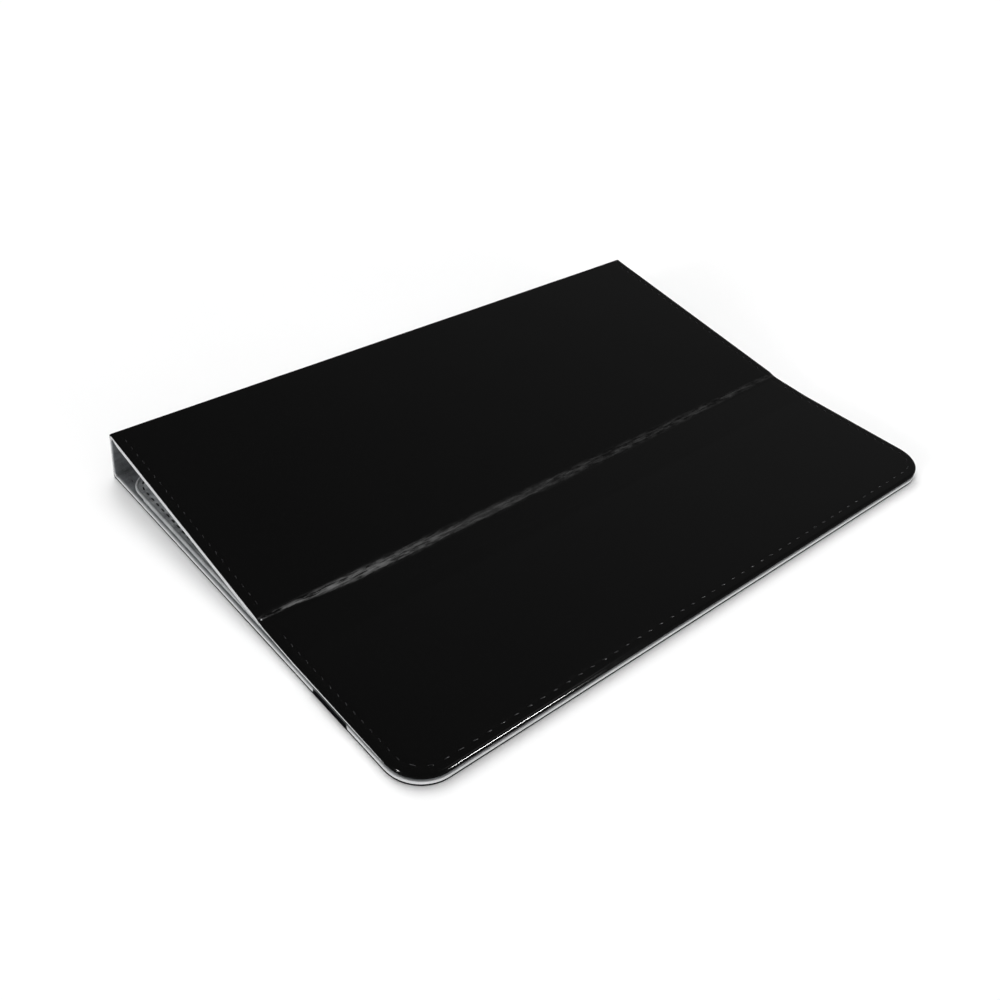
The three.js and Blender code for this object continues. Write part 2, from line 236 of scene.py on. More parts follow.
# Distance along the seam from where the corner starts: negative up the side, an arc round the
# corner, then along the front to the middle.
def seamRun(x, d):
    across, down = np.abs(x) - (halfLength - cornerRadius), cornerRadius - d
    angle = np.arctan2(np.maximum(down, 0), np.maximum(across, 1e-9))
    alongCurve = np.where(across <= 0, seamTurn * math.pi / 2 - across, seamTurn * angle)
    return np.where(down <= 0, down, alongCurve)


# The same the other way round: x (for the right half) and d at a distance along the seam.
def seamPoint(run):
    angle = np.clip(run / seamTurn, 0, math.pi / 2)
    past = np.maximum(run - seamTurn * math.pi / 2, 0)
    x = halfLength - cornerRadius + seamTurn * np.cos(angle) - past
    d = cornerRadius - seamTurn * np.sin(angle) - np.minimum(run, 0)
    return x, d


def needleHoles():
    middle = seamTurn * math.pi / 2 + halfLength - cornerRadius
    frontHoles = np.arange(middle - seam["frontPitch"] / 2, 0, -seam["frontPitch"])[::-1]
    longest = outerPath["length"] / 2
    sideHoles = np.arange(frontHoles[0] - seam["sidePitch"], -longest, -seam["sidePitch"])[::-1]
    return np.concatenate([sideHoles, frontHoles, [middle + seam["frontPitch"] / 2]])


holes = needleHoles()


# A sum of slanting sine waves with seeded directions and phases, about 1 high.
def waves(x, s, wavelength, seed, stretch=1.0, count=7):
    random = np.random.default_rng(seed)
    total = np.zeros(np.broadcast(x, s).shape)
    for angle, phase, size in zip(random.uniform(0, math.pi, count), random.uniform(0, 6.3, count),
                                  random.uniform(0.7, 1.5, count)):
        k = 2 * math.pi / (wavelength * size)
        total += np.sin(k * (x * math.cos(angle) / stretch + s * math.sin(angle)) + phase)
    return total / math.sqrt(count)


def smooth(t):
    t = np.clip(t, 0, 1)
    return t * t * (3 - 2 * t)


def bump(t):
    return np.exp(-np.square(t))


relief = dict(
    roll=0.75,              # width of the turned edge
    rollDepth=([0, 20, 60, 74, 80, 300],            # by distance from the front
               [0.75, 0.62, 0.5, 0.32, 0.2, 0.2]),
    backRollDepth=0.12,
    borderFall=0.07,        # how far the edge lies below the boarded part
    fallEnd=3.0,            # it fades out this near the spine's folds,
    furrowEnd=1.2,          # and the sewn furrow this near
    sag=0.05,               # slow unevenness of the boarded parts
    sagStart=2.0,           # it grows from here inwards, over the next distance
    sagGrowth=14.0,
    wrinkle=0.03,           # creases pressed into the fold
    wrinkleGap=1.0,
    wrinkleSlant=0.05,
    ridge=0.055,            # the board's edge showing through the leather
    ridgeWidth=0.32,
    ridgeStart=(-81.5, 10.0),   # x, and distance in front of the fold line
    ridgeTurn=0.061,        # how far the ridge drifts forward per millimetre of x
)
creaseRun = nearestRun(outerPath, crease)
footRun, topRun = nearestRun(outerPath, foot), nearestRun(outerPath, top)


pinchRun, pinchHeight = heightOver(pinchPath, outerPath, creaseRun - 12, creaseRun + 19)


# How far the fold has opened out across the case: pinched at the left edge, wide from there on.
def foldOpening(x):
    return smooth((x + 129) / 40) * (1 - 0.5 * smooth((x - 40) / 85))


# 1 in the middle of the pressed slope, 0 away from it: a band that starts as a point at the left
# edge and widens with the fold.
def inFold(x, s):
    width = 0.45 + 1.3 * foldOpening(x)
    return bump(np.abs((s - creaseRun + 0.65 + 1.2 * (1 - foldOpening(x))) / width) ** 1.5)


# 1 at the spine's two folds, falling away from them as a bell of the given reach.
def nearFolds(s, reach):
    return np.maximum(bump((s - footRun) / reach), bump((s - topRun) / reach))


# Height of the leather above the outer path: the turned edge is a quarter circle, the border
# falls away from the boards, a furrow with a dimple at each hole follows the seam, the boarded
# parts sag in slow waves, and the fold is covered in long slanting wrinkles.
def leatherHeight(x, s):
    onCover = s > (footRun + topRun) / 2
    d = np.where(onCover, outerPath["length"] - s, s)
    e = insideEdge(x, d)
    roll = 1 - np.clip(e / relief["roll"], 0, 1)
    coverDepth = np.interp(outerPath["length"] - s, *relief["rollDepth"])
    rollDepth = np.where(onCover, coverDepth, relief["backRollDepth"])
    height = rollDepth * (np.sqrt(1 - roll ** 2) - 1)
    clear = 1 - nearFolds(s, relief["fallEnd"])
    fall = relief["borderFall"] * smooth(1 - e / (laminate["border"] + 0.6)) * clear
    pinch = np.interp(s, pinchRun, pinchHeight, left=0, right=0) * (1 - foldOpening(x))
    holeNumber = np.interp(seamRun(x, d), holes, np.arange(len(holes)))
    dimple = seam["pucker"] * (0.5 + 0.5 * np.cos(2 * math.pi * holeNumber)) ** 3
    furrow = (seam["groove"] + dimple) * bump((e - seam["inset"]) / seam["grooveWidth"])
    furrow *= 1 - nearFolds(s, relief["furrowEnd"])
    inside = smooth((e - relief["sagStart"]) / relief["sagGrowth"])
    sag = relief["sag"] * (waves(x, s, 62, 3) * 0.65 + waves(x, s, 23, 5) * 0.22) * inside
    sag = np.where(onCover, sag, -0.02 - 0.3 * np.abs(sag))
    slant = s + relief["wrinkleSlant"] * x
    ridges = waves(x, slant, relief["wrinkleGap"], 11, stretch=7, count=9)
    ridges += 0.6 * waves(x, slant, relief["wrinkleGap"] * 2.6, 13, stretch=9)
    lively = 0.65 + 0.35 * waves(x, s, 21, 17)
    wrinkles = relief["wrinkle"] * ridges * lively * inFold(x, s) * smooth((e - 1.5) / 3)
    ridgeX, ridgeS = relief["ridgeStart"]
    ridgeAt = creaseRun + ridgeS + (x - ridgeX) * relief["ridgeTurn"]
    fade = smooth((x + 84) / 5) * smooth((36 - x) / 60)
    ridge = relief["ridge"] * bump((s - ridgeAt) / relief["ridgeWidth"]) * fade
    return height - fall - furrow + sag + wrinkles + ridge + pinch


def leatherPoint(x, s):
    return onPath(outerPath, s, leatherHeight(x, s))


def addObject(name, data):
    made = bpy.data.objects.new(name, data)
    bpy.context.scene.collection.objects.link(made)
    return made


# A mesh from points in millimetres, smooth except at edges that turn by more than sharpAngle.
def makeMesh(name, points, faces, sharpAngle=None):
    mesh = bpy.data.meshes.new(name)
    mesh.from_pydata((points * mm).tolist(), [], faces)
    mesh.update()
    mesh.polygons.foreach_set("use_smooth", np.ones(len(mesh.polygons), bool))
    if sharpAngle:
        mesh.set_sharp_from_angle(angle=math.radians(sharpAngle))
    return addObject(name, mesh)


def setAttribute(piece, name, values):
    attribute = piece.data.attributes.new(name, "FLOAT", "POINT")
    attribute.data.foreach_set("value", np.asarray(values, np.float32).ravel())


# Faces of a grid whose points are numbered row by row, turned over if flip is set.
def gridFaces(rows, columns, first=0, flip=False, closeRows=False, closeColumns=False):
    i = np.arange(rows if closeRows else rows - 1)[:, None]
    j = np.arange(columns if closeColumns else columns - 1)[None]
    a, b = i * columns, (i + 1) % rows * columns
    right = (j + 1) % columns
    quads = np.stack([a + j, a + right, b + right, b + j], axis=-1).reshape(-1, 4) + first
    return quads[:, ::-1] if flip else quads


# Triangles between two rows of points that share their ends, by walking both rows in order of x.
def zipRows(upper, lower, upperX, lowerX):
    upperMid, lowerMid = (upperX[1:] + upperX[:-1]) / 2, (lowerX[1:] + lowerX[:-1]) / 2
    apexBelow = lower[np.searchsorted(lowerMid, upperMid)]
    apexAbove = upper[np.searchsorted(upperMid, lowerMid, side="right")]
    down = np.stack([upper[:-1], apexBelow, upper[1:]], axis=1)
    up = np.stack([lower[:-1], lower[1:], apexAbove], axis=1)
    return np.vstack([down, up])


sheetSharpAngle = 40


# A closed sheet: a fine grid for the face that shows, a coarse grid with the same rows for the
# face behind it, quads down both sides and zipped triangles across both ends.
def closedSheet(name, shown, hidden, flip=False):
    rows, fine = shown.shape[:2]
    coarse = hidden.shape[1]
    points = np.vstack([shown.reshape(-1, 3), hidden.reshape(-1, 3)])
    a = np.arange(rows * fine).reshape(rows, fine)
    b = np.arange(rows * coarse).reshape(rows, coarse) + rows * fine
    quads = [gridFaces(rows, fine), gridFaces(rows, coarse, rows * fine, flip=True)]
    for side, turned in ((0, False), (-1, True)):
        strip = np.stack([b[:-1, side], a[:-1, side], a[1:, side], b[1:, side]], axis=1)
        quads.append(strip[:, ::-1] if turned else strip)
    start = zipRows(a[0], b[0], shown[0, :, 0], hidden[0, :, 0])
    end = zipRows(a[-1], b[-1], shown[-1, :, 0], hidden[-1, :, 0])[:, ::-1]
    quads, ends = np.vstack(quads), np.vstack([start, end])
    if flip:
        quads, ends = quads[:, ::-1], ends[:, ::-1]
    return makeMesh(name, points, quads.tolist() + ends.tolist(), sheetSharpAngle)


def solidVolume(piece):
    mesh = piece.data
    mesh.calc_loop_triangles()
    index, points = np.zeros(len(mesh.loop_triangles) * 3, int), np.zeros(len(mesh.vertices) * 3)
    mesh.loop_triangles.foreach_get("vertices", index)
    mesh.vertices.foreach_get("co", points)
    a, b, c = points.reshape(-1, 3)[index.reshape(-1, 3)].transpose(1, 0, 2)
    return (a * np.cross(b, c)).sum() / 6 / mm ** 3


# A closed mesh whose faces are turned outwards; a flat one has no smooth faces.
def closedMesh(name, points, faces, sharpAngle=None, flat=False):
    made = makeMesh(name, points, faces, sharpAngle)
    if solidVolume(made) < 0:
        made.data.flip_normals()
    if flat:
        made.data.polygons.foreach_set("use_smooth", np.zeros(len(made.data.polygons), bool))
    return made


# Distances spread from start to stop, about step apart, both ends included.
def spaced(start, stop, step):
    return np.linspace(start, stop, max(2, int(math.ceil(abs(stop - start) / step)) + 1))


# Rows along a chain of stretches, given as place, step, place, step and so on to the last place.
def chained(*chain):
    return [spaced(a, b, step) for a, step, b in zip(chain[::2], chain[1::2], chain[2::2])]


# Rows through a rounded corner, closest together at the free edge: radius times (1 - cos angle).
def cornerRows(count=26):
    return cornerRadius * (1 - np.cos(np.linspace(0, math.pi / 2, count)))


edgeSteps = np.array([0, .05, .16, .32, .52, .75, 1.1, 1.6, 2.1, 2.5, 2.8, 3.05, 3.3, 3.55, 3.8,
                      4.1, 4.5, 5.0, 5.6, 6.4, 7.4])


# Columns at fixed steps from both sides, with even ones between.
def columnsFor(width, steps, between):
    inner = np.linspace(-1, 1, between + 2)[None, 1:-1] * (width[:, None] - steps[-1])
    left = steps[None] - width[:, None]
    return np.hstack([left, inner, -left[:, ::-1]])


def joinRows(*parts):
    rows = np.unique(np.round(np.concatenate(parts), 4))
    return rows[np.concatenate([[True], np.diff(rows) > 0.03])]


# How far down the side the leather is turned, by distance from the cover's free edge: all of the
# thickness at the front, less along the sides, and only a cut edge behind the fold.
coverTurn = dict(
    lip=1.0,                 # width of the turned-in lip
    gap=0.06,                # between the leather and what it covers
    columns=204,             # between the fine ones at the sides
    distance=[0, 8, 17, 40, 58, 62, 74, 77, 84, 300],
    depth=[1.72, 1.6, 1.2, 0.9, 0.8, 0.72, 0.62, 0.48, 0.38, 0.36],
)


def turnedDepth(s):
    d = outerPath["length"] - s
    onCover = np.interp(d, coverTurn["distance"], coverTurn["depth"])
    return np.where(s > topRun, onCover, np.where(s > footRun, 0.36, 0.86))


# One stretch of the leather from the first row to the last. The face behind lies a skin's
# thickness under the outer path, and as deep as the leather is turned in a lip round the edge.
def leatherSheet(name, rows):
    d = np.where(rows > (footRun + topRun) / 2, outerPath["length"] - rows, rows)
    x = columnsFor(halfWidth(d), edgeSteps, coverTurn["columns"])
    s = np.broadcast_to(rows[:, None], x.shape)
    y, z = leatherPoint(x, s)
    shown = np.stack([x, y, z], axis=-1)
    outline, lipEdge = halfWidth(d), halfWidth(d, coverTurn["lip"])
    hiddenX = np.stack([-outline, -lipEdge, 0.1 - lipEdge, lipEdge - 0.1, lipEdge, outline], axis=1)
    hiddenS = np.broadcast_to(rows[:, None], hiddenX.shape)
    inLip = np.array([True, True, False, False, True, True])[None] | (d[:, None] < coverTurn["lip"])
    depth = np.where(inLip, turnedDepth(hiddenS), laminate["skin"] + coverTurn["gap"])
    hy, hz = onPath(outerPath, hiddenS, -depth)
    hidden = np.stack([hiddenX, hy, hz], axis=-1)
    made = closedSheet(name, shown, hidden, flip=True)
    edge = np.concatenate([insideEdge(x, d[:, None]).ravel(), np.zeros(hidden[..., 0].size)])
    setAttribute(made, "edgeDistance", edge)
    # Pale streaks in the fold: partly strained film, partly a painted highlight that is strongest at the
    # left end and fades to the right as the fold's highlight does
    foldPaleAndHighlightMask = inFold(x, s) * (1 - 0.75 * smooth((x + 100) / 60))
    foldPaleAndHighlight = np.concatenate([foldPaleAndHighlightMask.ravel(), np.zeros(hidden[..., 0].size)])
    setAttribute(made, "foldPaleAndHighlight", foldPaleAndHighlight)
    return made


spineMiddle = (footRun + topRun) / 2
coverCut = topRun + 3.4
endRun = outerPath["length"]

seamStep = 0.05          # the two rows nearest to a cut lie this far apart
backRows = joinRows(
    cornerRows(), *chained(cornerRadius, 1.6, footRun - 4, 0.25, footRun + 3, 1.2, spineMiddle),
    [spineMiddle - seamStep, spineMiddle])
spineRows = joinRows(
    [spineMiddle, spineMiddle + seamStep],
    *chained(spineMiddle, 1.2, topRun - 3, 0.25, coverCut), [coverCut - seamStep, coverCut])
coverRows = joinRows(
    [coverCut, coverCut + seamStep],
    *chained(coverCut, 1.2, creaseRun - 7, 0.34, creaseRun + 8, 0.2, creaseRun + 19, 1.2,
             endRun - cornerRadius),
    endRun - cornerRows())

leatherBack = leatherSheet("leather_back", backRows)
leatherSpine = leatherSheet("leather_spine", spineRows)
leatherCover = leatherSheet("leather_cover", coverRows)
print("leather done:", [len(o.data.polygons) for o in (leatherBack, leatherSpine, leatherCover)],
      [round(solidVolume(o)) for o in (leatherBack, leatherSpine, leatherCover)])


lining = dict(
    edgeRound=0.2,         # rounding of the cut edge
    hem=0.85,              # extra thickness of the folded edge under the sloping cover
    frontSetback=0.95,     # kept back inside the leather turned over the front edge
    setbackEnds=(6, 15),   # the setback fades out over these distances from the front
    nap=0.02,              # unevenness of the face
    furrow=0.06,           # depth of the sewn furrow, and its width
    furrowWidth=0.6,
    columns=118,           # between the fine ones at the sides
    portEnds=(32.0, 50.0), # distances of the port cut-out from the front edge
    portReach=3.4,
    portTop=1.4,
)
liningSteps = np.array([0, .04, .12, .25, .4, .8, 1.6, 2.4, 2.9, 3.3, 3.7, 4.3, 5.5, 7.5])
innerEnd = innerPath["length"]
innerFoot = nearestRun(innerPath, insideCorner(frontLower, foot, top, laminate["folded"]))
innerTop = nearestRun(innerPath, insideCorner(foot, top, shoulder, laminate["folded"]))
innerCrease = nearestRun(innerPath, crease - (0, laminate["cover"]))


# The lining keeps clear of the leather's lip along the front of the cover.
def liningSetback(d, onCover):
    near, far = lining["setbackEnds"]
    return np.where(onCover, lining["frontSetback"] * (1 - smooth((d - near) / (far - near))), 0.0)


# One stretch of the lining. The face that shows lies on the inner path with its rim rounded off;
# the face behind it reaches out to the leather along the edges and is one sheet thick elsewhere.
def liningSheet(name, rows):
    onCover = rows > (innerFoot + innerTop) / 2
    d = np.where(onCover, innerEnd - rows, rows)
    setback = liningSetback(d, onCover)
    width = halfWidth(d, setback)
    x = columnsFor(width, liningSteps, lining["columns"])
    s = np.broadcast_to(rows[:, None], x.shape)
    e = insideEdge(x, d[:, None]) - setback[:, None]
    rim = lining["edgeRound"] - np.clip(e, 0, lining["edgeRound"])
    drop = lining["edgeRound"] - np.sqrt(lining["edgeRound"] ** 2 - rim ** 2)
    drop = drop + lining["furrow"] * bump((e - seam["inset"]) / lining["furrowWidth"])
    drop = drop + lining["nap"] * (waves(x, s, 9, 23) + waves(x, s, 3.1, 29)) * smooth(e / 3)
    sloping = smooth((innerCrease - s) / 9) * smooth((s - innerTop) / 5)
    drop = drop - lining["hem"] * sloping * smooth((2.2 - e) / 1.3)
    y, z = onPath(innerPath, s, drop)
    shown = np.stack([x, y, z], axis=-1)
    reach = lining["portReach"]
    behindX = columnsFor(width, np.array([0, reach, reach + 0.05, laminate["border"]]), 0)
    behindS = np.broadcast_to(rows[:, None], behindX.shape)
    be = insideEdge(behindX, d[:, None]) - setback[:, None]
    outerRun, gap = acrossTo(innerPath, rows, outerPath)
    toLeather = gap - np.maximum(turnedDepth(outerRun), laminate["skin"]) - coverTurn["gap"]
    atRim = gap - turnedDepth(outerRun) - 0.04
    lift = np.where(be < laminate["border"] - 0.2, toLeather[:, None], laminate["lining"])
    lift = np.where(be < 0.5, atRim[:, None], lift)
    lift = np.maximum(np.minimum(lift, atRim[:, None]), 0.3)
    hy, hz = onPath(innerPath, behindS, lift)
    inPort = (d[:, None] > lining["portEnds"][0]) & (d[:, None] < lining["portEnds"][1])
    inPort = inPort & ~onCover[:, None] & (behindX < -halfLength + reach + 0.02)
    hz = np.where(inPort, lining["portTop"], hz)
    hidden = np.stack([behindX, hy, hz], axis=-1)
    made = closedSheet(name, shown, hidden)
    # edgeDistance drives the lining's pale cut edges, partly their own tone and partly painted light; the
    # spine's edges get less of it, and the faces behind get all of it
    onSpine = smooth((rows - innerFoot) / 2) * smooth((innerTop - rows) / 2)
    edge = np.concatenate([(e + 1.1 * onSpine[:, None]).ravel(), np.zeros(behindX.size)])
    setAttribute(made, "edgeDistance", edge)
    return made


innerMiddle = (innerFoot + innerTop) / 2
innerCut = innerTop + 5.2
portStart, portStop = lining["portEnds"]
portStep = 0.06
suedeBackRows = joinRows(
    cornerRows(20), *chained(cornerRadius, 2.2, innerFoot - 5, 0.3, innerFoot + 4, 1.5, innerMiddle),
    [portStart, portStart + portStep, portStop - portStep, portStop])
suedeSpineRows = joinRows(*chained(innerMiddle, 1.5, innerTop - 4, 0.3, innerCut))
suedeCoverRows = joinRows(
    *chained(innerCut, 2.2, innerCrease - 8, 0.8, innerCrease + 24, 2.2, innerEnd - cornerRadius),
    innerEnd - lining["frontSetback"]
    - cornerRows(20) * (1 - lining["frontSetback"] / cornerRadius))

suedeBack = liningSheet("suede_back", suedeBackRows)
suedeSpine = liningSheet("suede_spine", suedeSpineRows)
suedeCover = liningSheet("suede_cover", suedeCoverRows)
print("suede done:", [len(o.data.polygons) for o in (suedeBack, suedeSpine, suedeCover)],
      [round(solidVolume(o)) for o in (suedeBack, suedeSpine, suedeCover)])


# One stitch as a grid: a closed lozenge whose half width and height shrink to the ends as the
# square root of (1 - u squared), laid along its length and arched between its two holes.
def stitchMesh(name, centre, along, up, length, width, height):
    along = along / np.linalg.norm(along, axis=1)[:, None]
    across = np.cross(up, along)
    across /= np.linalg.norm(across, axis=1)[:, None]
    lift = np.cross(along, across)
    u = np.array([-1, -0.92, -0.55, 0, 0.55, 0.92, 1])
    turn = np.linspace(0, 2 * math.pi, 6, endpoint=False) + math.pi / 6
    girth = np.sqrt(np.maximum(1 - u ** 4, 0.02))
    grid = np.stack([np.broadcast_to(u[:, None], (7, 6)),
                     girth[:, None] * np.cos(turn), girth[:, None] * np.sin(turn)], axis=-1)
    arch = (1 - u ** 2) * 0.45
    size = np.broadcast_to(np.asarray(length, float), len(centre))[:, None, None]
    rise = grid[..., 2] * height / 2 + arch[:, None] * height
    points = (centre[:, None, None]
              + along[:, None, None] * (grid[..., 0][None] * size / 2)[..., None]
              + across[:, None, None] * (grid[..., 1] * width / 2)[None, ..., None]
              + lift[:, None, None] * rise[None, ..., None])
    body = gridFaces(7, 6, closeColumns=True, flip=True)
    offsets = np.arange(len(centre)) * 42
    quads = (body[None] + offsets[:, None, None]).reshape(-1, 4)
    ends = np.array([np.arange(6), np.arange(41, 35, -1)])
    caps = (ends[None] + offsets[:, None, None]).reshape(-1, 6)
    return makeMesh(name, points.reshape(-1, 3), quads.tolist() + caps.tolist())


wholeSeam = 1e3


# Stitches between neighbouring holes from run a to run b along the seam, on one side or both,
# on the leather's face and on the lining's face.
def seamStitches(name, onCover, runs, sides=(-1, 1)):
    random = np.random.default_rng(len(name))
    a, b = holes[:-1], holes[1:]
    keep = (a > runs[0]) & (b < runs[1])
    a, b = a[keep], b[keep]
    middle, length = (a + b) / 2, (b - a) * seam["threadLength"]
    centres, alongs, ups, lengths = [], [], [], []
    for side in sides:
        for inner in (False, True):
            # the middle stitch of a seam that goes all the way round belongs to the right side
            last = None if side > 0 or runs[1] < wholeSeam else -1
            alongSeam, size = middle[:last], length[:last]
            slant = random.normal(0.07, 0.03, len(alongSeam)) * side

            def place(run, across):
                x, d = seamPoint(run)
                x2, d2 = seamPoint(run + 0.01)
                tx, td = x2 - x, d2 - d
                norm = np.hypot(tx, td)
                x, d = x + td / norm * across, d - tx / norm * across
                if inner:
                    path, start = innerPath, 0.0
                    lift = -0.02
                    s = innerEnd - d if onCover else d
                else:
                    path = outerPath
                    s = endRun - d if onCover else d
                    lift = leatherHeight(x * side, s) + (0.0 if onCover else seam["underside"])
                y, z = onPath(path, s, lift)
                return np.stack([x * side, y, z], axis=1), s, path

            ahead, _, _ = place(alongSeam + size / 2, size * slant)
            behind, _, _ = place(alongSeam - size / 2, -size * slant)
            at, s, path = place(alongSeam, 0.0)
            ny, nz = (np.interp(s, path["s"], path["normal"][:, k]) for k in (0, 1))
            up = np.stack([np.zeros(len(s)), ny, nz], axis=1) * (-1 if inner else 1)
            centres.append(at)
            alongs.append(ahead - behind)
            ups.append(up)
            lengths.append(size)
    return stitchMesh(name, *map(np.concatenate, (centres, alongs, ups, lengths)),
                      seam["threadWidth"], seam["threadHeight"])


# A run along the seam from the corner for a distance d from the free edge.
def sideRun(d):
    return cornerRadius - d


footGap, topGap, creaseGap = 2.6, 2.8, 4.6    # the seams stop this far from each fold
bothSides = (("left", -1), ("right", 1))
backSeam = seamStitches("back_seam", False, (sideRun(footRun - footGap), wholeSeam))
spineRuns = sideRun(topRun - topGap), sideRun(footRun + footGap)
upperRuns = sideRun(endRun - topRun - topGap), sideRun(endRun - creaseRun + creaseGap)
spineSeams = [seamStitches(f"spine_seam_{n}", False, spineRuns, (side,)) for n, side in bothSides]
upperSeams = [seamStitches(f"upper_seam_{n}", True, upperRuns, (side,)) for n, side in bothSides]
lowerSeam = seamStitches("lower_seam", True, (sideRun(endRun - creaseRun - creaseGap), wholeSeam))
print("stitches done:", len(backSeam.data.polygons) + len(lowerSeam.data.polygons))


tabletFrame = dict(
    frontRadius=12.6,
    rearRadius=10.0,
    rimWidth=1.35,
    rimHeight=0.72,
    stitchInset=2.4,
    stitchPitch=3.8,
    windowRadius=5.0,
    faceUnder=0.33,        # face of the frame above the rim's underside, from and to
    faceOver=0.52,
    puff=0.19,             # how far the face swells between rim and window
    wallThickness=0.55,
    wallInset=0.36,
    pleat=0.08,            # depth of the pleats in the side wall
    stiffener=0.3,         # thickness of the board inside the face
    border=13.0,           # rim to window
    furrow=0.14,           # depth of the sewn furrow, and its width
    furrowWidth=0.5,
    threadLength=0.6,      # share of the pitch
    threadWidth=0.66,
    threadHeight=0.32,
    sharpAngle=50,
)
rimLow, rimHigh = corner("frame_binding", 0), corner("frame_binding", 1)
stiffenerRun = corner("frame_stiffener", 1) - corner("frame_stiffener", 0)
frameSlope = math.atan2(stiffenerRun[2] - tabletFrame["stiffener"], stiffenerRun[1])


loopCounts = dict(straight=46, turn=12)    # points on each straight side and each corner


# Points round a rectangle with two front and two rear corner radii, counter-clockwise from the
# middle of the rear side, in even numbers for each straight and each corner.
def roundedLoop(x, y0, y1, frontRadius, rearRadius):
    straight, turn = loopCounts["straight"], loopCounts["turn"]
    corners = [(-x, y1, rearRadius, 90), (-x, y0, frontRadius, 180),
               (x, y0, frontRadius, 270), (x, y1, rearRadius, 0)]
    points = []
    for px, py, radius, start in corners:
        centre = np.array([px - math.copysign(radius, px), py + (radius if py == y0 else -radius)])
        angle = np.radians(start + np.linspace(0, 90, turn))
        points.append(centre + radius * np.stack([np.cos(angle), np.sin(angle)], axis=1))
    loop = []
    for here, following in zip(points, points[1:] + points[:1]):
        loop.append(here)
        share = np.linspace(0, 1, straight + 2)[1:-1, None]
        loop.append(here[-1] * (1 - share) + following[0] * share)
    return np.vstack(loop)


# The plane of the frame: it climbs from front to rear. lift is measured from its underside.
def onFrame(xy, lift):
    underside = rimLow[2] + (xy[..., 1:] - rimLow[1]) * math.tan(frameSlope)
    return np.concatenate([xy, underside + lift[..., None]], axis=-1)


rimX, rimFront, rimRear = rimHigh[0], rimLow[1], rimHigh[1]
outerLoop = roundedLoop(rimX, rimFront, rimRear, tabletFrame["frontRadius"], tabletFrame["rearRadius"])


def loopInset(inset):
    return roundedLoop(rimX - inset, rimFront + inset, rimRear - inset,
                       tabletFrame["frontRadius"] - inset, tabletFrame["rearRadius"] - inset)


# The rolled rim: a half-round bead carried round the loop, its section run by an angle.
def makeRim():
    angle = np.linspace(0, 2 * math.pi, 14, endpoint=False)
    across = (1 - np.cos(angle)) / 2 * tabletFrame["rimWidth"]
    sine = np.sin(angle)
    lift = np.where(sine > 0, tabletFrame["rimHeight"] * np.abs(sine) ** 0.8, -0.1 * np.abs(sine))
    rows = np.stack([onFrame(loopInset(a), np.full(len(outerLoop), h))
                     for a, h in zip(across, lift)], axis=1)
    faces = gridFaces(len(outerLoop), 14, closeRows=True, closeColumns=True)
    return closedMesh("frame_rim", rows.reshape(-1, 3), faces.tolist())


frameRim = makeRim()


# The face of the frame: straight lines drawn from the rim to the window, which swell between
# the two, dip along the stitching and turn down at the window's edge.
def makeFace():
    border, overlap = tabletFrame["border"], 0.35    # the face runs a little way under the rim
    outside = loopInset(tabletFrame["rimWidth"] - overlap)
    window = roundedLoop(rimX - border, rimFront + border, rimRear - border,
                         tabletFrame["windowRadius"], tabletFrame["windowRadius"])
    share = np.concatenate([np.linspace(0, 0.95, 40), [0.98, 0.995, 1.0]])
    span = border - tabletFrame["rimWidth"] + overlap
    seamAt = (tabletFrame["stitchInset"] - tabletFrame["rimWidth"] + overlap) / span
    height = tabletFrame["faceOver"] + tabletFrame["puff"] * np.sin(math.pi * share) ** 0.7
    height = height - tabletFrame["furrow"] * bump((share - seamAt) * span / tabletFrame["furrowWidth"])
    height[-3:] = tabletFrame["faceOver"] - np.array([0.02, 0.06, 0.14])
    xy = outside[:, None] * (1 - share[None, :, None]) + window[:, None] * share[None, :, None]
    wobble = 0.025 * waves(xy[..., 0], xy[..., 1], 8, 31)
    wobble[:, -3:] = 0
    shown = onFrame(xy, height[None] + wobble)
    under = onFrame(xy[:, [-1, 0]], np.full((len(xy), 2), tabletFrame["faceUnder"]))
    grid = np.concatenate([shown, under], axis=1)
    faces = gridFaces(len(xy), grid.shape[1], closeRows=True, closeColumns=True)
    made = closedMesh("frame_suede_face", grid.reshape(-1, 3), faces.tolist(), tabletFrame["sharpAngle"])
    return made, seamAt, outside, window


frameFace, frameSeamShare, faceOutside, faceWindow = makeFace()


def makeFrameSeam():
    line = faceOutside * (1 - frameSeamShare) + faceWindow * frameSeamShare
    closed = np.vstack([line, line[:1]])
    run = np.concatenate([[0], np.cumsum(np.linalg.norm(np.diff(closed, axis=0), axis=1))])
    count = int(run[-1] / tabletFrame["stitchPitch"])
    at = np.linspace(0, run[-1], count, endpoint=False)
    size = tabletFrame["stitchPitch"] * tabletFrame["threadLength"]

    def place(t):
        return np.stack([np.interp(t % run[-1], run, closed[:, k]) for k in (0, 1)], axis=1)

    middle = onFrame(place(at), np.full(count, tabletFrame["faceOver"] + 0.02))
    along = onFrame(place(at + size / 2), np.zeros(count)) - onFrame(place(at - size / 2), np.zeros(count))
    up = np.broadcast_to(np.array([0, -math.sin(frameSlope), math.cos(frameSlope)]), (count, 3))
    return stitchMesh("frame_seam", middle, along, up, size,
                      tabletFrame["threadWidth"], tabletFrame["threadHeight"])


frameSeam = makeFrameSeam()


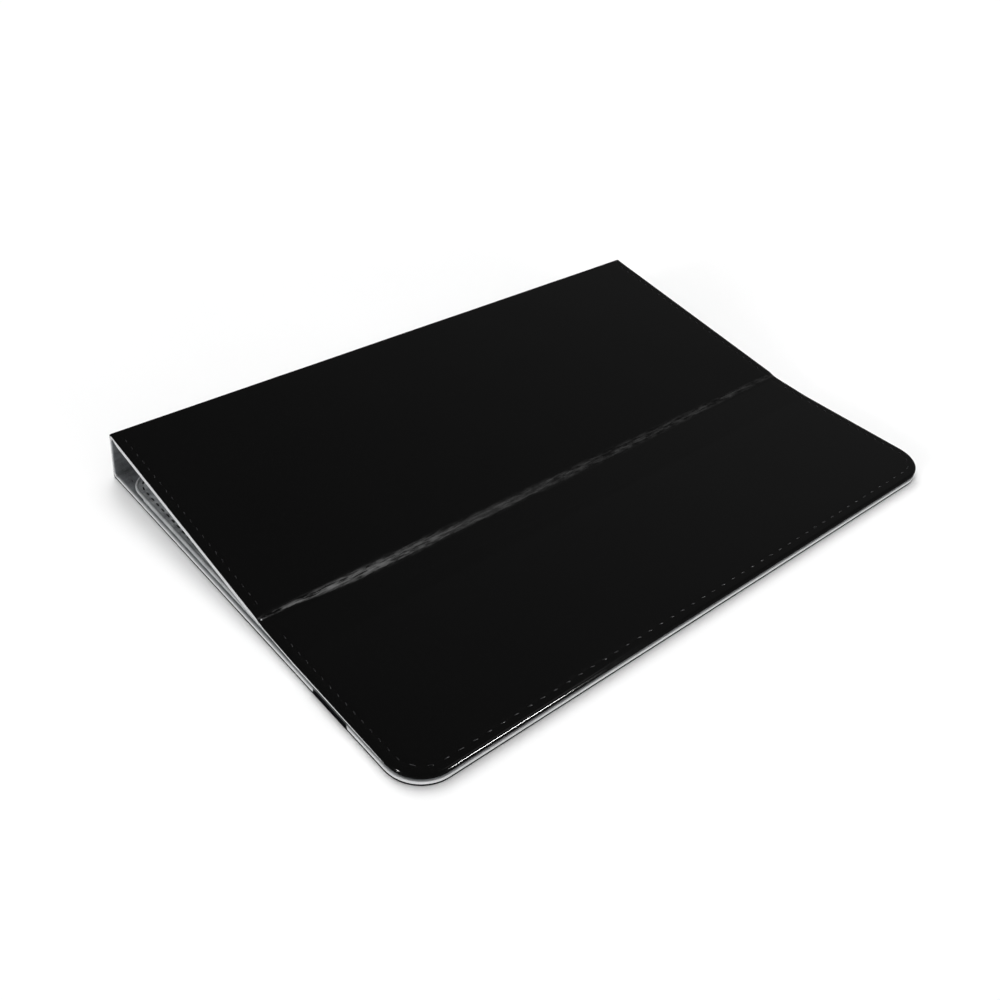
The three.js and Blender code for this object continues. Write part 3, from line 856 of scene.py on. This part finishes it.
# The side wall: a thin sheet with two pleats, carried along the left, front and right of the
# loop, from the lining up to the rim.
def makeSideWall():
    first = loopCounts["turn"]
    last = 3 * (loopCounts["straight"] + loopCounts["turn"])
    q = np.linspace(0, 1, 19)
    bulge = tabletFrame["pleat"] * np.abs(np.sin(3 * math.pi * q)) ** 0.8
    inset = tabletFrame["wallInset"] - bulge
    outside = np.concatenate([inset, (inset + tabletFrame["wallThickness"])[::-1]])
    level = np.concatenate([q, q[::-1]])
    loops = np.stack([loopInset(o)[first:last] for o in outside], axis=1)
    ceiling = onFrame(loops, np.full(loops.shape[:2], 0.0))[..., 2] + 0.03
    floor = backTop + 0.02
    z = floor + (ceiling - floor) * level[None]
    points = np.concatenate([loops, z[..., None]], axis=-1)
    rows, columns = points.shape[:2]
    faces = gridFaces(rows, columns, closeColumns=True).tolist()
    faces += [list(range(columns)), list(range(rows * columns - 1, (rows - 1) * columns - 1, -1))]
    return closedMesh("frame_side_wall", points.reshape(-1, 3), faces, tabletFrame["sharpAngle"])


frameWall = makeSideWall()


# The dark liner of the port: a thin C-shaped section carried along the cut-out. Its dark is partly
# the port's own black lining and partly painted shade inside the recess.
def makePortLiner():
    reach, wall = lining["portReach"] - 0.06, 0.1
    low, high = laminate["skin"] + 0.02, lining["portTop"] - 0.02
    section = np.array([(0.15, low), (reach, low), (reach, high), (0.15, high), (0.15, high - wall),
                        (reach - wall, high - wall), (reach - wall, low + wall), (0.15, low + wall)])
    y = front + np.array([portStart + 0.1, portStop - 0.1])
    points = np.stack(np.broadcast_arrays(-halfLength + section[:, 0], y[:, None], section[:, 1]), axis=-1)
    faces = gridFaces(2, 8, closeColumns=True).tolist()
    faces += [[0, 1, 6, 7], [1, 2, 5, 6], [2, 3, 4, 5], [15, 14, 9, 8], [14, 13, 10, 9], [13, 12, 11, 10]]
    return closedMesh("port_liner", points.reshape(-1, 3), faces, flat=True)


# The dark binding round the port's mouth: a thin leather ring with slanting ends, standing a
# little above the back panel. Its dark is partly the binding's own black and partly painted
# shade at the port's mouth.
def makePortBinding():
    thick, slant, over = 0.12, 0.9, 2.6
    y0, y1 = front + portStart - 0.3, front + portStop + 0.3
    ring = np.array([(y0, 0.5), (y1, 0.5), (y1 - slant / 2, over), (y0 + slant, over)])
    hole = np.array([(y0 + 1.0, 0.75), (y1 - 1.0, 0.75),
                     (y1 - 1.1, lining["portTop"]), (y0 + 1.3, lining["portTop"])])
    flat = np.vstack([ring, hole])
    points = np.vstack([np.column_stack([np.full(8, -halfLength + x), flat]) for x in (-thick, 0.02)])
    faces = []
    for k in range(4):
        n = (k + 1) % 4
        faces += [[k, k + 4, n + 4, n], [k + 8, n + 8, n + 12, k + 12],
                  [k, n, n + 8, k + 8], [k + 4, k + 12, n + 12, n + 4]]
    return closedMesh("port_binding", points, faces, flat=True)


portLiner, portBinding = makePortLiner(), makePortBinding()
print("frame done")


# sRGB hex to the linear colour that a socket takes.
def hexColour(text):
    srgb = [int(text[i:i + 2], 16) / 255 for i in (1, 3, 5)]
    return [c / 12.92 if c <= 0.04045 else ((c + 0.055) / 1.055) ** 2.4 for c in srgb] + [1.0]


# Adds one shader node: settings go on the node, inputs are numbers, hex colours, sockets that feed
# it, or nodes whose first output feeds it.
def addNode(tree, kind, inputs=None, **settings):
    node = tree.nodes.new("ShaderNode" + kind)
    for name, value in settings.items():
        setattr(node, name, value)
    for name, value in (inputs or {}).items():
        if isinstance(value, bpy.types.Node):
            value = value.outputs[0]
        if isinstance(value, bpy.types.NodeSocket):
            tree.links.new(value, node.inputs[name])
        else:
            node.inputs[name].default_value = hexColour(value) if isinstance(value, str) else value
    return node


def newMaterial(name):
    material = bpy.data.materials.new(name)
    material.use_nodes = True
    tree = material.node_tree
    tree.nodes.clear()
    return material, tree, addNode(tree, "TexCoord").outputs["Object"]


def perMetre(millimetres):
    return 1 / (millimetres * mm)


# Polyurethane-coated split leather, rolled smooth: a clear black film whose gloss is a little
# uneven, with fine shallow grain and drier film where the fold has been strained. The fold's pale
# streaks are partly the strained film's own paleness and partly a painted highlight.
def blackLeather():
    material, tree, where = newMaterial("coated_leather_rolled")
    edge = addNode(tree, "Attribute", attribute_name="edgeDistance").outputs["Fac"]
    foldPaleAndHighlight = addNode(tree, "Attribute", attribute_name="foldPaleAndHighlight").outputs["Fac"]
    smudge = addNode(tree, "TexNoise", dict(Vector=where, Scale=perMetre(38), Detail=3.0, Roughness=0.5))
    gloss = addNode(tree, "MapRange", {"Value": smudge.outputs["Fac"], "From Min": 0.35, "From Max": 0.65,
                                                 "To Min": 0.15, "To Max": 0.17})
    rim = addNode(tree, "MapRange", {"Value": edge, "From Min": 0.2, "From Max": 1.4,
                                               "To Min": 0.06, "To Max": 0.0})
    gloss = addNode(tree, "Math", {0: gloss, 1: rim}, operation="SUBTRACT")
    dry = addNode(tree, "Math", {0: foldPaleAndHighlight, 1: 0.08, 2: gloss}, operation="MULTIPLY_ADD")
    gloss = addNode(tree, "Math", {0: dry, 1: 0.1}, operation="MAXIMUM")
    grain = addNode(tree, "TexVoronoi", dict(Vector=where, Scale=perMetre(0.7)), feature="SMOOTH_F1")
    pores = addNode(tree, "TexNoise", dict(Vector=where, Scale=perMetre(2.2), Detail=4.0, Roughness=0.6))
    coarse = addNode(tree, "Bump", dict(Height=pores.outputs["Fac"], Strength=0.2, Distance=0.02 * mm))
    fine = addNode(tree, "Bump", dict(Height=grain.outputs["Distance"], Strength=0.2,
                                                Distance=0.02 * mm, Normal=coarse))
    streakSpace = addNode(tree, "Mapping", dict(Vector=where, Scale=(0.14, 1.0, 1.0),
                                                Rotation=(0, 0, 0.06)))
    streaks = addNode(tree, "TexNoise", dict(Vector=streakSpace, Scale=perMetre(0.9),
                                                       Detail=4.0, Roughness=0.65))
    streak = addNode(tree, "MapRange", {"Value": streaks.outputs["Fac"], "From Min": 0.42, "From Max": 0.62})
    # pale streaks in the fold (#5c5c5c): partly strained film, partly a painted highlight
    pale = addNode(tree, "Math", {0: streak, 1: foldPaleAndHighlight}, operation="MULTIPLY")
    colour = addNode(tree, "Mix", {"Factor": pale, "A": "#050505",
                                             "B": "#5c5c5c"}, data_type="RGBA")
    crinkle = addNode(tree, "Bump", dict(Height=pale, Strength=0.5, Distance=0.05 * mm,
                                                   Normal=fine))
    shader = addNode(tree, "BsdfPrincipled", {
        "Base Color": colour.outputs["Result"], "Roughness": gloss, "IOR": 1.5,
        "Specular IOR Level": 0.5, "Normal": crinkle})
    addNode(tree, "OutputMaterial", {"Surface": shader})
    return material


# Brushed polyester microsuede: short nap that mottles where it lies different ways, soft sheen.
# Its cut edges are painted paler: partly the edge's own tone, partly painted light where the
# edges face the lamps.
def microsuede(name, body, shade, light, sheen):
    material, tree, where = newMaterial(name)
    edge = addNode(tree, "Attribute", attribute_name="edgeDistance").outputs["Fac"]
    blotch = addNode(tree, "TexNoise", dict(Vector=where, Scale=perMetre(4.5), Detail=4.0, Roughness=0.65))
    fibre = addNode(tree, "TexNoise", dict(Vector=where, Scale=perMetre(0.55), Detail=3.0, Roughness=0.7))
    mottle = addNode(tree, "MapRange", {"Value": blotch.outputs["Fac"], "From Min": 0.36, "From Max": 0.66})
    colour = addNode(tree, "Mix", {"Factor": mottle, "A": shade,
                                             "B": body}, data_type="RGBA")
    fleck = addNode(tree, "MapRange", {"Value": fibre.outputs["Fac"], "From Min": 0.35, "From Max": 0.7,
                                                 "To Min": 0.82, "To Max": 1.1})
    flecked = addNode(tree, "VectorMath", {0: colour.outputs["Result"], 1: fleck},
                      operation="MULTIPLY")
    # painted light on the cut edges: the colour turns pale near them, partly the edge's own tone
    border = addNode(tree, "MapRange", {"Value": edge, "From Min": 0.25, "From Max": 0.9,
                                                  "To Min": 1.0, "To Max": 0.0})
    edgePaleAndLit = addNode(tree, "Mix", {"Factor": border, "A": flecked,
                                            "B": light}, data_type="RGBA")
    nap = addNode(tree, "Bump", dict(Height=fibre.outputs["Fac"], Strength=0.5, Distance=0.12 * mm))
    shader = addNode(tree, "BsdfPrincipled", {
        "Base Color": edgePaleAndLit.outputs["Result"], "Roughness": 0.92, "IOR": 1.45, "Specular IOR Level": 0.25,
        "Sheen Weight": sheen, "Sheen Roughness": 0.5, "Normal": nap})
    addNode(tree, "OutputMaterial", {"Surface": shader})
    return material


# A material of two close tones in a fine pattern of one size in millimetres. A strength above 0
# lets the pattern raise the surface as well.
def twoTone(name, size, tones, pattern, finish, strength=0.0, kind="TexNoise", **settings):
    material, tree, where = newMaterial(name)
    pattern = dict(pattern, Vector=where, Scale=perMetre(size))
    grain = addNode(tree, kind, pattern, **settings).outputs["Fac"]
    colour = addNode(tree, "Mix", {"Factor": grain, "A": tones[0], "B": tones[1]}, data_type="RGBA")
    if strength:
        raised = addNode(tree, "Bump", dict(Height=grain, Strength=strength, Distance=0.05 * mm))
        finish = dict(finish, Normal=raised)
    shader = addNode(tree, "BsdfPrincipled", {"Base Color": colour.outputs["Result"], **finish})
    addNode(tree, "OutputMaterial", {"Surface": shader})
    return material


# Zinc-plated steel disc: bright grey metal with faint stamping marks.
def platedSteel():
    material, tree, where = newMaterial("plated_steel_stamped")
    marks = addNode(tree, "TexNoise", dict(Vector=where, Scale=perMetre(0.8), Detail=3.0))
    rough = addNode(tree, "MapRange", {"Value": marks.outputs["Fac"], "To Min": 0.25, "To Max": 0.42})
    shader = addNode(tree, "BsdfPrincipled", {
        "Base Color": "#b4b6b8", "Metallic": 1.0, "Roughness": rough})
    addNode(tree, "OutputMaterial", {"Surface": shader})
    return material


def dress(piece, material):
    piece.data.materials.clear()
    piece.data.materials.append(material)


leather = blackLeather()
suede = microsuede("microsuede_brushed", "#7c7f82", "#5f6265", "#c0c1c2", 0.15)
# the frame's face wears a paler copy of the lining's microsuede: painted light, for the light it lacks in
# the shade under the cover
frameSuedePaintedLit = microsuede("microsuede_brushed_painted_lit", "#c6c9cb", "#85888b", "#c0c1c2", 0.15)
# the frame's rim and side wall wear a paler copy of the microsuede: partly the binding's own paler tone,
# partly painted light on walls turned to the lamps
edgeSuedePaintedLit = microsuede("microsuede_edge_painted_lit", "#b6b8b9", "#9c9ea0", "#c4c5c6", 0.15)
# Black bonded polyester thread: two twisted plies that show as slanting bands with a dull shine.
thread = twoTone("polyester_thread_twisted", 3.2, ("#0b0b0c", "#28282a"), {"Distortion": 1.0},
                 {"Roughness": 0.42, "IOR": 1.55}, 0.5, "TexWave", bands_direction="DIAGONAL")
# Grey bookbinding board: pressed recycled pulp with dark and light flecks.
board = twoTone("grey_board_pressed", 1.2, ("#5d5952", "#8d887f"),
                {"Detail": 5.0, "Roughness": 0.75}, {"Roughness": 0.9}, 0.3)
# The same coated leather with a blue-black cast, cut thin to line the port: partly its own black,
# partly painted shade in the port's recess.
portBlackAndShade = twoTone("coated_leather_liner_painted_shade", 1.0, ("#040507", "#090a0d"), {"Detail": 3.0},
                   {"Roughness": 0.6, "Specular IOR Level": 0.15})
# Matt white studio paper, a hair uneven.
paper = twoTone("studio_paper_matt", 90, ("#f6f6f6", "#fafafa"), {"Detail": 1.0},
                {"Roughness": 1.0, "Specular IOR Level": 0.0})
steel = platedSteel()
for piece in (leatherBack, leatherSpine, leatherCover):
    dress(piece, leather)
for piece in (suedeBack, suedeSpine, suedeCover):
    dress(piece, suede)
farFromEdge = 9.0
for piece, cloth in ((frameFace, frameSuedePaintedLit), (frameRim, edgeSuedePaintedLit), (frameWall, edgeSuedePaintedLit)):
    setAttribute(piece, "edgeDistance", np.full(len(piece.data.vertices), farFromEdge))
    dress(piece, cloth)
for piece in (backSeam, *spineSeams, *upperSeams, lowerSeam, frameSeam):
    dress(piece, thread)
for piece in (portLiner, portBinding):
    dress(piece, portBlackAndShade)
for name in ("back_board", "spine_board", "upper_board", "lower_board", "frame_stiffener"):
    dress(frame["nodes"][name], board)
for name in ("keeper_disc_left", "keeper_disc_right", "closure_magnet_left", "closure_magnet_right"):
    dress(frame["nodes"][name], steel)
print("materials done")


spineUp, coverOut = unit(top - foot), unit(shoulder - top)
bends = (    # the two bodies at each fold, and the points between which the sheet turns
    ("back_panel", "spine", foot + (-3.0, 1.0), foot + (-1.7, 2.9)),
    ("spine", "upper_cover", top - spineUp * 2.6 + coverOut * 1.4, top - spineUp + coverOut * 3.4),
    ("upper_cover", "lower_cover", crease + (4.8, 0), crease - (4.8, 0)))
skinNodes = (("back_skin",), ("spine_skin",), ("upper_skin", "lower_skin"))
liningNodes = (("back_lining",), ("spine_lining",), ("upper_lining", "lower_lining"))
for pieces, nodes, slot in (((leatherBack, leatherSpine, leatherCover), skinNodes, "outer_leather"),
                            ((suedeBack, suedeSpine, suedeCover), liningNodes, "suede_lining")):
    for piece, stoodFor, (bodyA, bodyB, start, end) in zip(pieces, nodes, bends):
        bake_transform(piece)
        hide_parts(*stoodFor)


def rideAs(piece, body, slot, *nodes):
    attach(piece, body)
    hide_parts(*nodes)


rideAs(backSeam, "back_panel", "thread", "back_stitching")
for piece, side in zip(spineSeams, ("left", "right")):
    rideAs(piece, "spine", "thread", f"spine_stitching_{side}")
for piece, side in zip(upperSeams, ("left", "right")):
    rideAs(piece, "upper_cover", "thread", f"upper_stitching_{side}")
rideAs(lowerSeam, "lower_cover", "thread", "lower_stitching")
rideAs(frameRim, "back_panel", "suede_edge", "frame_binding")
rideAs(frameFace, "back_panel", "suede_lining", "frame_face")
rideAs(frameSeam, "back_panel", "thread", "frame_stitching")
rideAs(frameWall, "back_panel", "suede_edge", "frame_gusset")
for piece in (portLiner, portBinding):
    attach(piece, "back_panel")


camera = dict(azimuth=-43.85, elevation=37.91, roll=5.06,    # degrees
              lens=39.13, distance=399.1, aim=(-31.6, -12.5, 10.0))


def makeCamera():
    azimuth, elevation = math.radians(camera["azimuth"]), math.radians(camera["elevation"])
    back = Vector((math.sin(azimuth) * math.cos(elevation), -math.cos(azimuth) * math.cos(elevation),
                   math.sin(elevation)))
    data = bpy.data.cameras.new("camera")
    data.lens = camera["lens"]
    data.clip_start, data.clip_end = 0.01, 20
    made = addObject("camera", data)
    made.location = Vector(camera["aim"]) * mm + back * camera["distance"] * mm
    made.rotation_mode = "QUATERNION"
    made.rotation_quaternion = Quaternion(back, math.radians(camera["roll"])) @ back.to_track_quat("Z", "Y")
    bpy.context.scene.camera = made


makeCamera()


def makeFloor(size=3.0):
    points = np.array([(-size, -size, 0), (size, -size, 0), (size, size, 0), (-size, size, 0)]) / mm
    made = makeMesh("floor", points, [[0, 1, 2, 3]])
    made.visible_glossy = False
    dress(made, paper)


makeFloor()


# A lamp at a distance along a direction from the case, facing it.
def addLamp(name, kind, direction, distance=0.0, **settings):
    data = bpy.data.lights.new(name, kind)
    for setting, value in settings.items():
        setattr(data, setting, value)
    made = addObject(name, data)
    made.rotation_mode = "QUATERNION"
    made.rotation_quaternion = Vector(direction).to_track_quat("Z", "Y")
    made.location = Vector(direction).normalized() * distance
    return made


suns = dict(    # direction, strength, width of the disc in degrees
    soft_from_behind=((0.25, 0.75, 1.15), 1.35, 40),
    soft_from_right=((0.4, 0.05, 1.3), 0.45, 36),
    soft_from_back_left=((-0.55, 0.4, 1.3), 0.3, 46),
    low_from_left=((-1.0, -0.1, 0.2), 1.25, 14),
    low_from_front=((0.1, -1.0, 0.1), 1.3, 14),
)
panels = dict(  # direction, distance, size, power: these show only as reflections
    fold_light=((0.43, 0.13, 0.88), 1.4, (0.3, 0.45), 0.22),
    rim_light=((0.36, -0.9, 0.15), 1.2, (0.18, 0.14), 11),
    corner_light=((-0.95, -0.12, 0.29), 1.2, (0.1, 0.1), 4),
)
for name, (direction, strength, width) in suns.items():
    lamp = addLamp(name, "SUN", direction, energy=strength, angle=math.radians(width))
    lamp.visible_glossy = False
for name, (direction, distance, (across, tall), power) in panels.items():
    lamp = addLamp(name, "AREA", direction, distance,
                   shape="RECTANGLE", size=across, size_y=tall, energy=power)
    lamp.visible_diffuse = False


def makeWorld():
    world = bpy.data.worlds.new("studio")
    world.use_nodes = True
    tree = world.node_tree
    tree.nodes.clear()
    where = addNode(tree, "TexCoord").outputs["Generated"]
    towards = addNode(tree, "VectorMath", {0: where, 1: (0.9, 0.45, 0.0)}, operation="DOT_PRODUCT")
    glow = addNode(tree, "MapRange", {"Value": towards.outputs["Value"], "From Min": 0.55, "From Max": 0.82,
                                                "To Min": 0.055, "To Max": 0.1})
    reflected = addNode(tree, "Background", dict(Color="#ffffff", Strength=glow))
    scattered = addNode(tree, "Background", dict(Color="#ffffff", Strength=0.42))
    white = addNode(tree, "Background", dict(Color="#ffffff", Strength=1.0))
    path = addNode(tree, "LightPath")
    lit = addNode(tree, "MixShader", {0: path.outputs["Is Diffuse Ray"], 1: reflected,
                                                2: scattered})
    mixed = addNode(tree, "MixShader", {0: path.outputs["Is Camera Ray"], 1: lit,
                                                  2: white})
    addNode(tree, "OutputWorld", {"Surface": mixed})
    bpy.context.scene.world = world


makeWorld()
bpy.context.scene.view_settings.view_transform = "Standard"
print("studio done")
